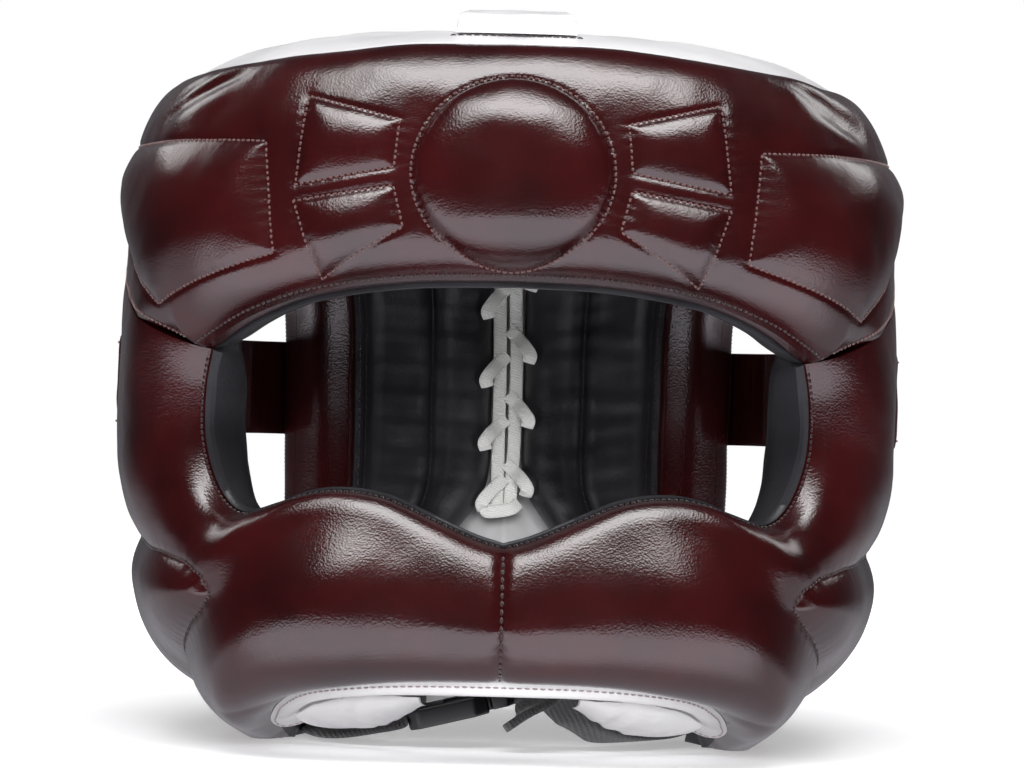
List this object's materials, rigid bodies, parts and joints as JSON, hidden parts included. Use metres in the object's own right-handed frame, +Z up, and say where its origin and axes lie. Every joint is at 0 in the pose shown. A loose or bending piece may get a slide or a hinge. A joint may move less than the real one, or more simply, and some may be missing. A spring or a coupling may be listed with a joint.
{
  "type": "boxing headgear",
  "caption": "Padded leather boxing headgear with nose bar: oxblood pads, black lining, white crown and chin binding, laced back and a buckled chin strap",
  "frame": {"origin": "middle of the footprint, on the surface that the headgear rests on", "axes": "+Z up; the face looks along -Y; +X is to the right of someone who looks at the face"},
  "size_m": [0.2418, 0.2674, 0.2183],
  "materials": {
    "oxblood_leather": "polished",
    "black_leather": "satin",
    "white_leather": "satin",
    "white_lace": "woven",
    "black_webbing": "woven",
    "black_acetal": "moulded"
  },
  "bodies": {
    "root": {"forehead_pad": "oxblood_leather", "forehead_lining": "black_leather", "face_guard_left": "oxblood_leather", "face_guard_right": "oxblood_leather", "face_lining": "black_leather", "chin_binding": "white_leather", "jaw_lining_left": "white_leather", "jaw_lining_right": "white_leather", "crown_panel": "white_leather", "crown_strap": "white_leather", "back_pad_left": "oxblood_leather", "back_pad_right": "oxblood_leather", "back_lining_left": "black_leather", "back_lining_right": "black_leather", "back_tongue": "white_leather", "back_lace": "white_lace", "ear_strap_left": "oxblood_leather", "ear_strap_right": "oxblood_leather", "chin_strap_left": "black_webbing", "chin_strap_right": "black_webbing", "buckle_body": "black_acetal", "buckle_prong": "black_acetal"}
  },
  "joints": []
}
